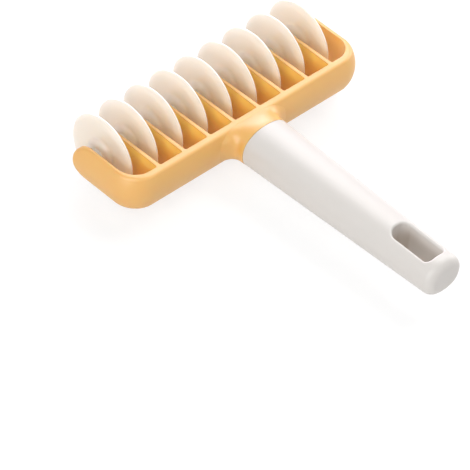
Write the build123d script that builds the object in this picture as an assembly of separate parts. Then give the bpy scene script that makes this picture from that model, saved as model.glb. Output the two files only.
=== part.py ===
from build123d import *
from math import copysign, cos, pi, sin
import os

# Nine wheel pastry cutter: a comb-shaped head carries nine free-running wheels between its ribs,
# and a hollow handle is pushed over the tang behind its neck.
# All lengths are millimetres. X runs along the head, the handle points to -Y, Z is up.
# The pieces are drawn round the middle of the wheel axis and lifted into place when they are written.

# Wheels
wheel_count = 9
wheel_pitch = 18.0
wheel_diameter = 45.5
wheel_body_width = 2.8
wheel_edge_width = 0.6
wheel_bevel_depth = 5.4
boss_diameter = 21.4
boss_rise = 2.6
boss_foot_rise = 0.8
boss_foot_width = 2.4
hub_diameter = 10.0
hub_end_chamfer = 0.5
side_play = 0.3

# Pivots
pin_diameter = 3.0
pin_length = 1.3
pin_play = 0.05
pin_lead = 0.5
bore_end_gap = 0.4
bore_mouth_chamfer = 0.35

# Head
head_height = 21.5
side_bulge = 3.0
rim_above_axis = 9.2
rib_thickness = 1.6
rib_root_thickness = 2.6
end_wall_thickness = 2.0
rib_reach = 9.0
nose_flat = 0.55
bar_inside_distance = 32.5
bar_thickness = 3.6
outer_corner_radius = 13.0
inner_corner_radius = 11.5
skin_depth = 4.0
rib_root_round = 0.8
rib_edge_round = 0.4
rim_round = 2.2
pad_height = 1.0
pad_diameter = 9.0
pad_chamfer = 0.5

# Neck and tang
joint_distance = 47.5
joint_width = 32.4
joint_step = 2.15
neck_flare = 8.0
neck_flare_power = 5.0
neck_root_fullness_share = 0.58
neck_rim_step = 0.15
neck_root_gap = 1.7
neck_points = 24
neck_shares = (0, 0.2, 0.4, 0.6, 0.8, 1)
tang_length = 44.0
tang_width = 17.0
tang_height = 13.0
tang_web = 3.0
tang_end_lead = 2.0
catch_rise = 0.7
catch_length = 3.0
catch_from_end = 8.0
seam_bevel = 0.35

# Handle
handle_lift = 0.55
handle_end_distance = 180.5
handle_end_width = 25.2
handle_end_height = 21.6
handle_end_round = 5.0
oval_fullness_share = 0.91
oval_points = 16
socket_play = 0.15
slot_width = 13.0
slot_length = 28.6
slot_inner_corner_radius = 5.2
slot_outer_corner_radius = 3.0
slot_end_gap = 8.2
slot_edge_round = 1.2

# One overrun serves every cut, and one slack every comparison
overrun = 1.0
skin_slack = 0.01

# Worked out from the sizes above
wheel_radius = wheel_diameter / 2
hub_radius = hub_diameter / 2
boss_radius = boss_diameter / 2
pin_radius = pin_diameter / 2
rib_face_offset = (wheel_pitch - rib_thickness) / 2
hub_half_length = rib_face_offset - side_play
first_wheel_x = -(wheel_count - 1) * wheel_pitch / 2
last_wheel_x = -first_wheel_x
end_face_x = last_wheel_x + rib_face_offset + pad_height
head_half = end_face_x + end_wall_thickness
head_top = rim_above_axis
head_bottom = rim_above_axis - head_height
head_middle = (head_top + head_bottom) / 2
nose_round = head_height / 2 - nose_flat
nose_centre_y = rib_reach - nose_round
bar_inside_y = -bar_inside_distance
bar_outside_y = bar_inside_y - bar_thickness
joint_height = head_height + 2 * joint_step
joint_y = -joint_distance
handle_drop = head_height / 2 - (rim_above_axis + handle_lift)
handle_end_y = -handle_end_distance
axis_y = (handle_end_distance - wheel_radius) / 2
axis_z = wheel_radius
place = Location((0, axis_y, axis_z))


def oval(half_width, half_height, middle_z, y):
    """A smooth oval in the plane at y, a little fuller at its shoulders than an ellipse."""
    points = []
    for number in range(oval_points):
        turn = 2 * pi * number / oval_points
        across = copysign(abs(cos(turn)) ** oval_fullness_share, cos(turn))
        up = copysign(abs(sin(turn)) ** oval_fullness_share, sin(turn))
        points.append((half_width * across, y, middle_z + half_height * up))
    return Face(Wire([Spline(*points, periodic=True)]))


def box_between(low, high):
    """A block between two opposite corners."""
    size = [b - a for a, b in zip(low, high)]
    middle = [(a + b) / 2 for a, b in zip(low, high)]
    return Pos(*middle) * Box(*size)


# Wheels
def wheel():
    """One wheel: thinned rim, soft domed boss and a hub with a blind bore in each end, turned about X."""
    body_half = wheel_body_width / 2
    edge_half = wheel_edge_width / 2
    boss_half = body_half + boss_rise
    bore_radius = pin_radius + pin_play
    bore_bottom = hub_half_length - (pin_length - side_play) - bore_end_gap
    bore_mouth = hub_half_length - bore_mouth_chamfer
    hub_face_radius = hub_radius - hub_end_chamfer
    rim_start = wheel_radius - wheel_bevel_depth
    foot = TangentArc((body_half, boss_radius),
                      (body_half + boss_foot_rise, boss_radius - boss_foot_width), tangent=(0, -1))
    dome = TangentArc(foot @ 1, (boss_half, hub_radius), tangent=foot % 1)
    half = [
        Line((0, 0), (bore_bottom, 0)),
        Line((bore_bottom, 0), (bore_bottom, bore_radius)),
        Line((bore_bottom, bore_radius), (bore_mouth, bore_radius)),
        Line((bore_mouth, bore_radius), (hub_half_length, bore_radius + bore_mouth_chamfer)),
        Line((hub_half_length, bore_radius + bore_mouth_chamfer), (hub_half_length, hub_face_radius)),
        Line((hub_half_length, hub_face_radius), (hub_half_length - hub_end_chamfer, hub_radius)),
        Line((hub_half_length - hub_end_chamfer, hub_radius), (boss_half, hub_radius)),
        dome,
        foot,
        Line((body_half, boss_radius), (body_half, rim_start)),
        TangentArc((body_half, rim_start), (edge_half, wheel_radius), tangent=(0, 1)),
        Line((edge_half, wheel_radius), (0, wheel_radius)),
        Line((0, wheel_radius), (0, 0)),
    ]
    turned = revolve(Face(Wire(half)), Axis.X)
    return turned + mirror(turned, Plane.YZ)


# Head
def head_skin():
    """The outer skin of the comb: one bulged section carried round both ends and the front."""
    corner = outer_corner_radius
    corner_y = bar_outside_y + corner
    path = Wire([
        Line((-head_half, rib_reach, head_middle), (-head_half, corner_y, head_middle)),
        RadiusArc((-head_half, corner_y, head_middle),
                  (-head_half + corner, bar_outside_y, head_middle), -corner),
        Line((-head_half + corner, bar_outside_y, head_middle),
             (head_half - corner, bar_outside_y, head_middle)),
        RadiusArc((head_half - corner, bar_outside_y, head_middle),
                  (head_half, corner_y, head_middle), -corner),
        Line((head_half, corner_y, head_middle), (head_half, rib_reach, head_middle)),
    ])
    root_x = -head_half + corner / 2
    section = Face(Wire([
        Line((root_x, rib_reach, head_top), (-head_half, rib_reach, head_top)),
        ThreePointArc((-head_half, rib_reach, head_top), (-head_half - side_bulge, rib_reach, head_middle),
                      (-head_half, rib_reach, head_bottom)),
        Line((-head_half, rib_reach, head_bottom), (root_x, rib_reach, head_bottom)),
        Line((root_x, rib_reach, head_bottom), (root_x, rib_reach, head_top)),
    ]))
    return sweep(section, path)


def is_outer_edge(edge):
    """True for the rim and bottom edges of the skin and for its edges round the nose at each end."""
    middle = edge @ 0.5
    on_rim = min(abs(middle.Z - head_top), abs(middle.Z - head_bottom)) < skin_slack
    across_back = abs((edge @ 0).Y - (edge @ 1).Y) < skin_slack and middle.Y > bar_inside_y
    round_nose = abs(middle.X) > head_half - rim_round and middle.Y > nose_centre_y - rim_round
    return edge.length > skin_slack and ((on_rim and not across_back) or (round_nose and not on_rim))


def head_blank():
    """The comb before its gaps are cut: bulged skin, rounded front corners, a round nose in side view."""
    core_half = head_half - skin_depth
    core_front_y = bar_outside_y + skin_depth
    plan = make_face(Polyline(
        (-core_half, rib_reach), (core_half, rib_reach),
        (core_half, core_front_y), (-core_half, core_front_y), close=True))
    plan = fillet(plan.vertices().group_by(Axis.Y)[0], outer_corner_radius - skin_depth)
    blank = extrude(Pos(0, 0, head_bottom) * plan, head_height) + head_skin()
    back = blank.edges().filter_by(Axis.X).group_by(Axis.Y)[-1]
    blank = fillet([back.sort_by(Axis.Z)[0], back.sort_by(Axis.Z)[-1]], nose_round)
    return fillet([edge for edge in blank.edges() if is_outer_edge(edge)], rim_round)


def wheel_gap(number):
    """The gap in the comb round one wheel, open to the back."""
    centre = first_wheel_x + number * wheel_pitch
    rib_slope = (rib_root_thickness - rib_thickness) / 2 / bar_inside_distance
    back_y = rib_reach + overrun
    root_offset = rib_face_offset + rib_slope * bar_inside_y
    back_offset = rib_face_offset + rib_slope * back_y
    left_end, right_end = number == 0, number == wheel_count - 1
    back_left, root_left = (-end_face_x,) * 2 if left_end else (centre - back_offset, centre - root_offset)
    back_right, root_right = (end_face_x,) * 2 if right_end else (centre + back_offset, centre + root_offset)
    plan = make_face(Polyline(
        (back_left, back_y), (back_right, back_y),
        (root_right, bar_inside_y), (root_left, bar_inside_y), close=True))
    for corner_x, at_end in ((root_left, left_end), (root_right, right_end)):
        corner = plan.vertices().group_by(Axis.Y)[0].sort_by_distance((corner_x, bar_inside_y, 0))[0]
        plan = fillet(corner, inner_corner_radius if at_end else rib_root_round)
    return extrude(Pos(0, 0, head_bottom - overrun) * plan, head_height + 2 * overrun)


def is_gap_edge(edge):
    """True for the straight and rounded edges round the gaps, on the rim and on the bottom."""
    middle = edge @ 0.5
    level = min(abs(middle.Z - head_top), abs(middle.Z - head_bottom)) < skin_slack
    inside = abs(middle.X) < end_face_x + skin_slack and middle.Y > bar_inside_y - skin_slack
    across_back = abs((edge @ 0).Y - (edge @ 1).Y) < skin_slack and middle.Y > bar_inside_y + skin_slack
    return level and inside and not across_back


def pivot_pin(base_x, direction, rooted):
    """A short pin rooted inside a rib or pad, bevelled at its tip so that a wheel can be clicked over it."""
    pin = Cylinder(pin_radius, rooted + pin_length, align=(Align.CENTER, Align.CENTER, Align.MIN))
    pin = chamfer(pin.edges().group_by(Axis.Z)[-1], pin_lead)
    return Location((base_x, 0, 0), (0, direction * 90, 0)) * pin


def end_pad(base_x, direction):
    """The raised pad on an end wall that brings its pin as near to the wheel as a rib does."""
    pad = Cylinder(pad_diameter / 2, pad_height, align=(Align.CENTER, Align.CENTER, Align.MIN))
    pad = chamfer(pad.edges().group_by(Axis.Z)[-1], pad_chamfer)
    return Location((base_x, 0, 0), (0, direction * 90, 0)) * pad


def neck_section(share):
    """One cross-section of the neck, share of the way from the handle joint to its root inside the bar."""
    root_y = bar_inside_y - neck_root_gap
    flare_reach = joint_distance + bar_outside_y - side_bulge
    y = joint_y + (root_y - joint_y) * share
    blend = share * share * (3 - 2 * share)
    bar_half_height = head_height / 2 - neck_rim_step
    half_height = joint_height / 2 + (bar_half_height - joint_height / 2) * blend
    middle_z = -handle_drop + (head_middle + handle_drop) * blend
    fullness = oval_fullness_share + (neck_root_fullness_share - oval_fullness_share) * blend
    points = []
    for number in range(neck_points):
        turn = 2 * pi * number / neck_points
        across = copysign(abs(cos(turn)) ** fullness, cos(turn))
        z = middle_z + half_height * copysign(abs(sin(turn)) ** fullness, sin(turn))
        height_share = min(abs(z - head_middle) / (head_height / 2), 1)
        skin_y = bar_outside_y - side_bulge * (1 - height_share ** 2)
        to_skin = (skin_y - y) / flare_reach
        if to_skin > 0:
            rise = neck_flare * max(1 - to_skin, 0) ** neck_flare_power
        else:
            rise = neck_flare * (1 - neck_flare_power * to_skin)
        points.append(((joint_width / 2 + rise) * across, y, z))
    return Face(Wire([Spline(*points, periodic=True)]))


def neck():
    """The neck flares from the handle joint into the bulged face of the front bar, level with its rim."""
    return loft([neck_section(share) for share in neck_shares])


def tang():
    """A cross-shaped tang with a catch above and below, as deep as the handle's socket."""
    tip_y = joint_y - tang_length
    flat = box_between(
        (-tang_width / 2, tip_y, -handle_drop - tang_web / 2),
        (tang_width / 2, joint_y, -handle_drop + tang_web / 2))
    upright = box_between(
        (-tang_web / 2, tip_y, -handle_drop - tang_height / 2),
        (tang_web / 2, joint_y, -handle_drop + tang_height / 2))
    flat = chamfer(flat.edges().filter_by(Axis.Z).group_by(Axis.Y)[0], tang_end_lead)
    upright = chamfer(upright.edges().filter_by(Axis.X).group_by(Axis.Y)[0], tang_end_lead)
    body = flat + upright
    for side in (1, -1):
        foot = -handle_drop + side * tang_height / 2
        ramp = make_face(Polyline(
            (0, tip_y + catch_from_end, foot),
            (0, tip_y + catch_from_end + catch_length, foot + side * catch_rise),
            (0, tip_y + catch_from_end + catch_length, foot), close=True))
        body += extrude(ramp, tang_web / 2, dir=(1, 0, 0), both=True)
    return body


def head():
    """The comb, its pivot pins and pads, the neck and the tang are one moulding."""
    comb = head_blank()
    for number in range(wheel_count):
        comb -= wheel_gap(number)
    comb = fillet([edge for edge in comb.edges() if is_gap_edge(edge)], rib_edge_round)
    for number in range(wheel_count - 1):
        rib_x = first_wheel_x + (number + 0.5) * wheel_pitch
        for direction in (1, -1):
            comb += pivot_pin(rib_x, direction, rib_thickness / 2)
    for direction in (1, -1):
        comb += end_pad(-direction * end_face_x, direction)
        comb += pivot_pin(-direction * end_face_x, direction, pad_height)
    return comb + neck() + tang()


# Handle
def is_slot_edge(edge, slot_middle):
    """True for the edges round the two mouths of the hanging slot."""
    middle = edge @ 0.5
    across = abs(middle.X) < slot_width / 2 + skin_slack
    along = abs(middle.Y - slot_middle) < slot_length / 2 + skin_slack
    upright = abs((edge @ 0).Z - (edge @ 1).Z) > handle_end_height / 2
    return across and along and not upright


def handle():
    """The oval grip with its socket for the tang and the hanging slot near its end."""
    start = oval(joint_width / 2, joint_height / 2, -handle_drop, joint_y)
    end = oval(handle_end_width / 2, handle_end_height / 2, -handle_drop, handle_end_y)
    grip = loft([start, end], ruled=True)
    grip = fillet(grip.edges().group_by(Axis.Y)[0], handle_end_round)
    grip = chamfer(grip.edges().group_by(Axis.Y)[-1], seam_bevel)
    socket_end = joint_y - tang_length - socket_play
    grip -= box_between(
        (-tang_width / 2 - socket_play, socket_end, -handle_drop - tang_height / 2 - socket_play),
        (tang_width / 2 + socket_play, joint_y + overrun, -handle_drop + tang_height / 2 + socket_play))
    catch_start = joint_y - tang_length + catch_from_end
    catch_half = tang_height / 2 + catch_rise + socket_play
    grip -= box_between(
        (-tang_width / 2 - socket_play, catch_start, -handle_drop - catch_half),
        (tang_width / 2 + socket_play, catch_start + catch_length + socket_play, -handle_drop + catch_half))
    slot_middle = handle_end_y + slot_end_gap + slot_length / 2
    slot_face = Rectangle(slot_width, slot_length)
    slot_face = fillet(slot_face.vertices().group_by(Axis.Y)[-1], slot_inner_corner_radius)
    slot_face = fillet(slot_face.vertices().group_by(Axis.Y)[0], slot_outer_corner_radius)
    slot = extrude(Pos(0, slot_middle, 0) * slot_face, joint_height, both=True)
    grip -= slot
    lips = [edge for edge in grip.edges() if is_slot_edge(edge, slot_middle)]
    return fillet(lips, slot_edge_round)


os.makedirs("parts", exist_ok=True)
pieces = {"head": head(), "handle": handle()}
one_wheel = wheel()
for number in range(wheel_count):
    pieces[f"wheel_{number + 1}"] = Pos(first_wheel_x + number * wheel_pitch, 0, 0) * one_wheel
for name, piece in pieces.items():
    export_step(place * piece, f"parts/{name}.step")
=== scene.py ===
import math

import bmesh
import bpy
from mathutils import Matrix, Vector

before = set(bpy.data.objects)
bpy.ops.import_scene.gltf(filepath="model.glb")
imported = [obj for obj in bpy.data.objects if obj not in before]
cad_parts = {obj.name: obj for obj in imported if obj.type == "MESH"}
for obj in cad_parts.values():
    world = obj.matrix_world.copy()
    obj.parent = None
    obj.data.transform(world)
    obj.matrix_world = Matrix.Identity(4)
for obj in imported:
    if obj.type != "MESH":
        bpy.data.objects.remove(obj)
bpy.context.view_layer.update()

# Head
# One orange polypropylene moulding: front bar, eight thin ribs, two end walls, neck and tang. The mould is
# lightly grained, so the skin is satin: soft wide highlights, a faint orange-peel ripple and a slow drift of
# colour.


def calculate(tree, operation, *values):
    """One step of arithmetic in a node tree, on numbers or on the results of other nodes."""
    step = tree.nodes.new("ShaderNodeMath")
    step.operation = operation
    for socket, value in zip(step.inputs, values):
        if isinstance(value, bpy.types.NodeSocket):
            tree.links.new(value, socket)
        else:
            socket.default_value = value
    return step.outputs[0]


def moulding_group():
    """The skin of a moulded piece: a slow tint, a mask for its sheen, and its height in ripple and grain."""
    group = bpy.data.node_groups.new("moulded skin", "ShaderNodeTree")
    for label, highest, usual in (("Tint Size", 1000, 40), ("Grain Size", 9000, 1800),
                                  ("Ripple Size", 2000, 180), ("Tint Amount", 1, 0.5)):
        socket = group.interface.new_socket(name=label, in_out="INPUT", socket_type="NodeSocketFloat")
        socket.min_value, socket.max_value, socket.default_value = 0, highest, usual
    for label in ("Tint", "Sheen Mask", "Height"):
        group.interface.new_socket(name=label, in_out="OUTPUT", socket_type="NodeSocketFloat")
    nodes, links = group.nodes, group.links
    given = nodes.new("NodeGroupInput")
    result = nodes.new("NodeGroupOutput")
    place = nodes.new("ShaderNodeTexCoord")

    def noise(size, detail):
        cloud = nodes.new("ShaderNodeTexNoise")
        cloud.inputs["Detail"].default_value = detail
        links.new(place.outputs["Object"], cloud.inputs["Vector"])
        links.new(given.outputs[size], cloud.inputs["Scale"])
        return cloud.outputs["Fac"]

    grain_share = 0.12
    tint = calculate(group, "MULTIPLY", noise("Tint Size", detail=3), given.outputs["Tint Amount"])
    ripple = noise("Ripple Size", detail=1)
    height = calculate(group, "MULTIPLY_ADD", noise("Grain Size", detail=2), grain_share, ripple)
    for label, value in (("Tint", tint), ("Sheen Mask", ripple), ("Height", height)):
        links.new(value, result.inputs[label])
    return group


def moulded_plastic(name, light, dark, tint_amount, rough_low, rough_high, bump, soak, soak_depth,
                    soak_colour, ior=1.58):
    """A satin plastic: two tones drift over it, roughness follows the ripple, and light soaks in a little."""
    ripple_height = 0.0002
    material = bpy.data.materials.new(name)
    material.use_nodes = True
    nodes, links = material.node_tree.nodes, material.node_tree.links
    shader = nodes["Principled BSDF"]
    skin = nodes.new("ShaderNodeGroup")
    skin.node_tree = moulded_skin
    skin.inputs["Tint Amount"].default_value = tint_amount
    tone = nodes.new("ShaderNodeMix")
    tone.data_type = "RGBA"
    tone.inputs["A"].default_value = (*light, 1)
    tone.inputs["B"].default_value = (*dark, 1)
    links.new(skin.outputs["Tint"], tone.inputs["Factor"])
    links.new(tone.outputs["Result"], shader.inputs["Base Color"])
    rough = nodes.new("ShaderNodeMapRange")
    rough.inputs["To Min"].default_value = rough_low
    rough.inputs["To Max"].default_value = rough_high
    links.new(skin.outputs["Sheen Mask"], rough.inputs["Value"])
    links.new(rough.outputs["Result"], shader.inputs["Roughness"])
    relief = nodes.new("ShaderNodeBump")
    relief.inputs["Strength"].default_value = bump
    relief.inputs["Distance"].default_value = ripple_height
    links.new(skin.outputs["Height"], relief.inputs["Height"])
    links.new(relief.outputs["Normal"], shader.inputs["Normal"])
    shader.inputs["Subsurface Weight"].default_value = soak
    shader.inputs["Subsurface Radius"].default_value = soak_colour
    shader.inputs["Subsurface Scale"].default_value = soak_depth
    shader.inputs["Specular IOR Level"].default_value = 1.0
    shader.inputs["IOR"].default_value = ior
    return material


def dress(node, material):
    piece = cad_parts[node]
    piece.data.materials.clear()
    piece.data.materials.append(material)


moulded_skin = moulding_group()
head_plastic = moulded_plastic(
    "orange satin plastic", light=(0.82, 0.46, 0.105), dark=(0.79, 0.40, 0.080), tint_amount=0.6,
    rough_low=0.40, rough_high=0.48, bump=0.04, soak=0.3, soak_depth=0.004, soak_colour=(1.0, 0.40, 0.10))
dress("head", head_plastic)


def recess_group():
    """A mask of 1 inside a hollow with round corners, from Low Y to High Y and below Top Z."""
    group = bpy.data.node_groups.new("inside a recess", "ShaderNodeTree")
    for label in ("Half Width", "Low Y", "High Y", "Top Z", "Corner Radius", "Soft Edge", "Soft Depth"):
        group.interface.new_socket(name=label, in_out="INPUT", socket_type="NodeSocketFloat")
    group.interface.new_socket(name="Mask", in_out="OUTPUT", socket_type="NodeSocketFloat")
    nodes, links = group.nodes, group.links
    given = nodes.new("NodeGroupInput")
    result = nodes.new("NodeGroupOutput")
    place = nodes.new("ShaderNodeTexCoord")
    apart = nodes.new("ShaderNodeSeparateXYZ")
    links.new(place.outputs["Object"], apart.inputs[0])

    def subtract(first, second):
        return calculate(group, "SUBTRACT", first, second)

    def fade_in(distance, width):
        fade = nodes.new("ShaderNodeMapRange")
        fade.interpolation_type = "SMOOTHSTEP"
        links.new(distance, fade.inputs["Value"])
        links.new(given.outputs[width], fade.inputs["From Max"])
        return fade.outputs["Result"]

    radius = given.outputs["Corner Radius"]
    from_side = subtract(given.outputs["Half Width"], calculate(group, "ABSOLUTE", apart.outputs["X"]))
    from_front = subtract(apart.outputs["Y"], given.outputs["Low Y"])
    from_back = subtract(given.outputs["High Y"], apart.outputs["Y"])
    from_end = calculate(group, "MINIMUM", from_front, from_back)
    past_side = calculate(group, "MAXIMUM", subtract(radius, from_side), 0)
    past_end = calculate(group, "MAXIMUM", subtract(radius, from_end), 0)
    past_end_squared = calculate(group, "MULTIPLY", past_end, past_end)
    squares = calculate(group, "MULTIPLY_ADD", past_side, past_side, past_end_squared)
    from_wall = subtract(radius, calculate(group, "SQRT", squares))
    depth = subtract(given.outputs["Top Z"], apart.outputs["Z"])
    mask = calculate(group, "MULTIPLY", fade_in(from_wall, "Soft Edge"), fade_in(depth, "Soft Depth"))
    links.new(mask, result.inputs["Mask"])
    return group


def paint_light_in_recess(material, tone, **hollow_sizes):
    """Paints a tone of painted light or painted shade over the walls inside one hollow of a piece. Sizes are
    named as in the group.
    """
    nodes, links = material.node_tree.nodes, material.node_tree.links
    hollow = nodes.new("ShaderNodeGroup")
    hollow.node_tree = inside_recess
    for label, value in hollow_sizes.items():
        hollow.inputs[label.replace("_", " ").title()].default_value = value
    base_colour = nodes["Principled BSDF"].inputs["Base Color"]
    blend = nodes.new("ShaderNodeMix")
    blend.data_type = "RGBA"
    blend.inputs["B"].default_value = (*tone, 1)
    links.new(base_colour.links[0].from_socket, blend.inputs["A"])
    links.new(hollow.outputs["Mask"], blend.inputs["Factor"])
    links.new(blend.outputs["Result"], base_colour)


# Painted light: between the thin ribs the orange is painted fuller, a painted glow standing in for the light
# that soaks through them, and a painted shade deepens it further down. The tone begins just under the skin of
# the walls and runs on past the open ends of the gaps.
inside_recess = recess_group()
in_end_wall, in_front_bar, past_rib_tips = 0.0815, 0.0460, 0.1100
wheel_gaps = dict(half_width=in_end_wall, low_y=in_front_bar, high_y=past_rib_tips, corner_radius=0.0118,
                  soft_edge=0.0010)
# A painted glow tone for the upper gaps and a painted shade tone for their depths.
painted_glow_orange, painted_shade_orange = (1.0, 0.63, 0.120), (1.0, 0.44, 0.035)
paint_light_in_recess(head_plastic, painted_glow_orange, **wheel_gaps, top_z=0.0318, soft_depth=0.0010)
paint_light_in_recess(head_plastic, painted_shade_orange, **wheel_gaps, top_z=0.0310, soft_depth=0.0160)

# Cutting wheels
# Nine cream acetal wheels, each a single moulding with a bevelled cutting rim, a domed boss and a hub whose
# ends click over the pins of the head.

wheel_count = 9
wheel_plastic = moulded_plastic(
    "cream wheel plastic", light=(0.825, 0.765, 0.690), dark=(0.780, 0.715, 0.620), tint_amount=0.5,
    rough_low=0.32, rough_high=0.40, bump=0.05, soak=0.7, soak_depth=0.006, soak_colour=(1.0, 0.85, 0.7))
for number in range(1, wheel_count + 1):
    dress(f"wheel_{number}", wheel_plastic)

# Handle
# A white moulded grip pushed over the tang, where two catches hold it. Its skin is satin like the head's, but
# a little less glossy, with a wide soft highlight along its crown and a thin lip round the hanging slot.

handle_plastic = moulded_plastic(
    "white grip plastic", light=(0.715, 0.685, 0.655), dark=(0.685, 0.655, 0.615), tint_amount=0.4,
    rough_low=0.40, rough_high=0.47, bump=0.02, soak=0.2, soak_depth=0.004, soak_colour=(1.0, 0.95, 0.9),
    ior=1.45)
dress("handle", handle_plastic)

# Painted shade: the walls of the hanging slot are rounded over at the crown and get a painted shade, darker
# and browner further down.
painted_slot_shade = (0.47, 0.40, 0.335)
paint_light_in_recess(handle_plastic, painted_slot_shade, half_width=0.0070, low_y=-0.0940, high_y=-0.0642,
            corner_radius=0.0035, soft_edge=0.0008, top_z=0.0330, soft_depth=0.0130)

# Table
# A plain pale table top under the wheels. It keeps a faint shadow, and shows as white to the camera and in
# every reflection.

table_reach = 3.0
table_shape = bmesh.new()
bmesh.ops.create_grid(table_shape, x_segments=1, y_segments=1, size=table_reach)
table_mesh = bpy.data.meshes.new("table_top")
table_shape.to_mesh(table_mesh)
table_shape.free()
table = bpy.data.objects.new("table_top", table_mesh)
bpy.context.scene.collection.objects.link(table)
table_paint = bpy.data.materials.new("table paint")
table_paint.use_nodes = True
nodes, links = table_paint.node_tree.nodes, table_paint.node_tree.links
matt = nodes["Principled BSDF"]
matt.inputs["Base Color"].default_value = (0.80, 0.79, 0.78, 1)
matt.inputs["Roughness"].default_value = 0.9
matt.inputs["Specular IOR Level"].default_value = 0.1

# The grey of the seen table takes the shadow, and the glow over it makes the lit part white.
shadow_grey = nodes.new("ShaderNodeBsdfDiffuse")
shadow_grey.inputs["Color"].default_value = (0.30, 0.30, 0.30, 1)
glow = nodes.new("ShaderNodeEmission")
glow.inputs["Strength"].default_value = 0.76
white_table = nodes.new("ShaderNodeAddShader")
links.new(shadow_grey.outputs[0], white_table.inputs[0])
links.new(glow.outputs[0], white_table.inputs[1])


def show_white(tree, plain, white, output):
    """Shows the white shader to the camera, in reflections and through clear material, else the plain one."""
    ray = tree.nodes.new("ShaderNodeLightPath")
    camera_or_glossy = calculate(tree, "MAXIMUM", ray.outputs["Is Camera Ray"], ray.outputs["Is Glossy Ray"])
    seen_directly = calculate(tree, "MAXIMUM", camera_or_glossy, ray.outputs["Is Transmission Ray"])
    choose = tree.nodes.new("ShaderNodeMixShader")
    tree.links.new(seen_directly, choose.inputs["Fac"])
    tree.links.new(plain.outputs[0], choose.inputs[1])
    tree.links.new(white.outputs[0], choose.inputs[2])
    tree.links.new(choose.outputs[0], tree.nodes[output].inputs["Surface"])


show_white(table_paint.node_tree, matt, white_table, "Material Output")
table_mesh.materials.append(table_paint)
# The glow is only for looking at, so the table isn't counted among the lamps, which would fleck the render.
table_paint.cycles.emission_sampling = "NONE"

# Studio light
# A pale room with large soft lights on the left, in front, on the right and behind, some low and some high,
# which give the sheen along the rim, the neck and the crown of the handle.

room = bpy.data.worlds.new("pale room")
bpy.context.scene.world = room
room.use_nodes = True
soft_room = room.node_tree.nodes["Background"]
soft_room.inputs["Color"].default_value = (1.0, 0.99, 0.98, 1)
soft_room.inputs["Strength"].default_value = 0.20
white_room = room.node_tree.nodes.new("ShaderNodeBackground")
white_room.inputs["Color"].default_value = (1, 1, 1, 1)
white_room.inputs["Strength"].default_value = 1.0
show_white(room.node_tree, soft_room, white_room, "World Output")


def placed(spot, across, up, back):
    """The place of a lamp or camera at a spot, with its back turned along the last direction."""
    turned = Matrix((across, up, back)).transposed().to_4x4()
    return Matrix.Translation(spot) @ turned


def softbox(name, place, long_side, size, watts, tint=(1, 1, 1)):
    """A soft rectangular lamp that faces the cutter, with its long side turned along long_side."""
    lamp = bpy.data.lights.new(name, "AREA")
    lamp.shape = "RECTANGLE"
    lamp.size, lamp.size_y = size
    lamp.energy = watts
    lamp.color = tint
    box = bpy.data.objects.new(name, lamp)
    bpy.context.scene.collection.objects.link(box)
    away = Vector(place).normalized()
    along = (Vector(long_side) - away * away.dot(Vector(long_side))).normalized()
    box.matrix_world = placed(place, along, away.cross(along), away)


softbox("left light", place=(-1.15, -0.15, 0.50), long_side=(0, 1, 0), size=(0.7, 0.5), watts=5.4)
softbox("high left light", place=(-0.85, -0.15, 0.95), long_side=(0, 1, 0), size=(0.7, 0.5), watts=1.9)
softbox("high front light", place=(-0.62, -0.55, 1.00), long_side=(1, -1, 0), size=(0.7, 0.5), watts=2.9)
softbox("front light", place=(0.15, -1.20, 0.45), long_side=(1, 0, 0), size=(0.8, 0.5), watts=1.4)
softbox("right light", place=(1.20, 0.0, 0.42), long_side=(0, 1, 0), size=(0.7, 0.5), watts=4.8)
softbox("high right light", place=(0.70, 0.0, 1.06), long_side=(0, 1, 0), size=(0.6, 0.4), watts=4.6)
softbox("back light", place=(0.62, 0.62, 0.92), long_side=(-0.6, 0, 0.5), size=(0.9, 0.35), watts=4.2)
softbox("low back light", place=(0.67, 1.04, 0.33), long_side=(1, -0.6, 0), size=(0.45, 0.35), watts=7.8,
        tint=(1.0, 0.86, 1.0))

# Camera
# It looks down from the front left with a long lens, turned a little about its own line of sight. The length
# of the lens is given in pixels of the square picture.

picture_side = 470
focal_pixels = 3720.8
turn, lift, roll = math.radians(-47.863), math.radians(43.739), math.radians(5.636)
aim = Vector((-0.06147, -0.009915, 0.02275))
distance = 1.905
back = Vector((math.sin(turn) * math.cos(lift), -math.cos(turn) * math.cos(lift), math.sin(lift)))
right = Vector((math.cos(turn), math.sin(turn), 0))
up = back.cross(right)
rolled_right = right * math.cos(roll) + up * math.sin(roll)
rolled_up = up * math.cos(roll) - right * math.sin(roll)
lens = bpy.data.cameras.new("camera")
lens.sensor_width = 36
lens.lens = focal_pixels / picture_side * lens.sensor_width
lens.clip_start, lens.clip_end = 0.05, 20
camera = bpy.data.objects.new("camera", lens)
bpy.context.scene.collection.objects.link(camera)
camera.matrix_world = placed(aim + back * distance, rolled_right, rolled_up, back)
bpy.context.scene.camera = camera
bpy.context.scene.view_settings.view_transform = "Standard"
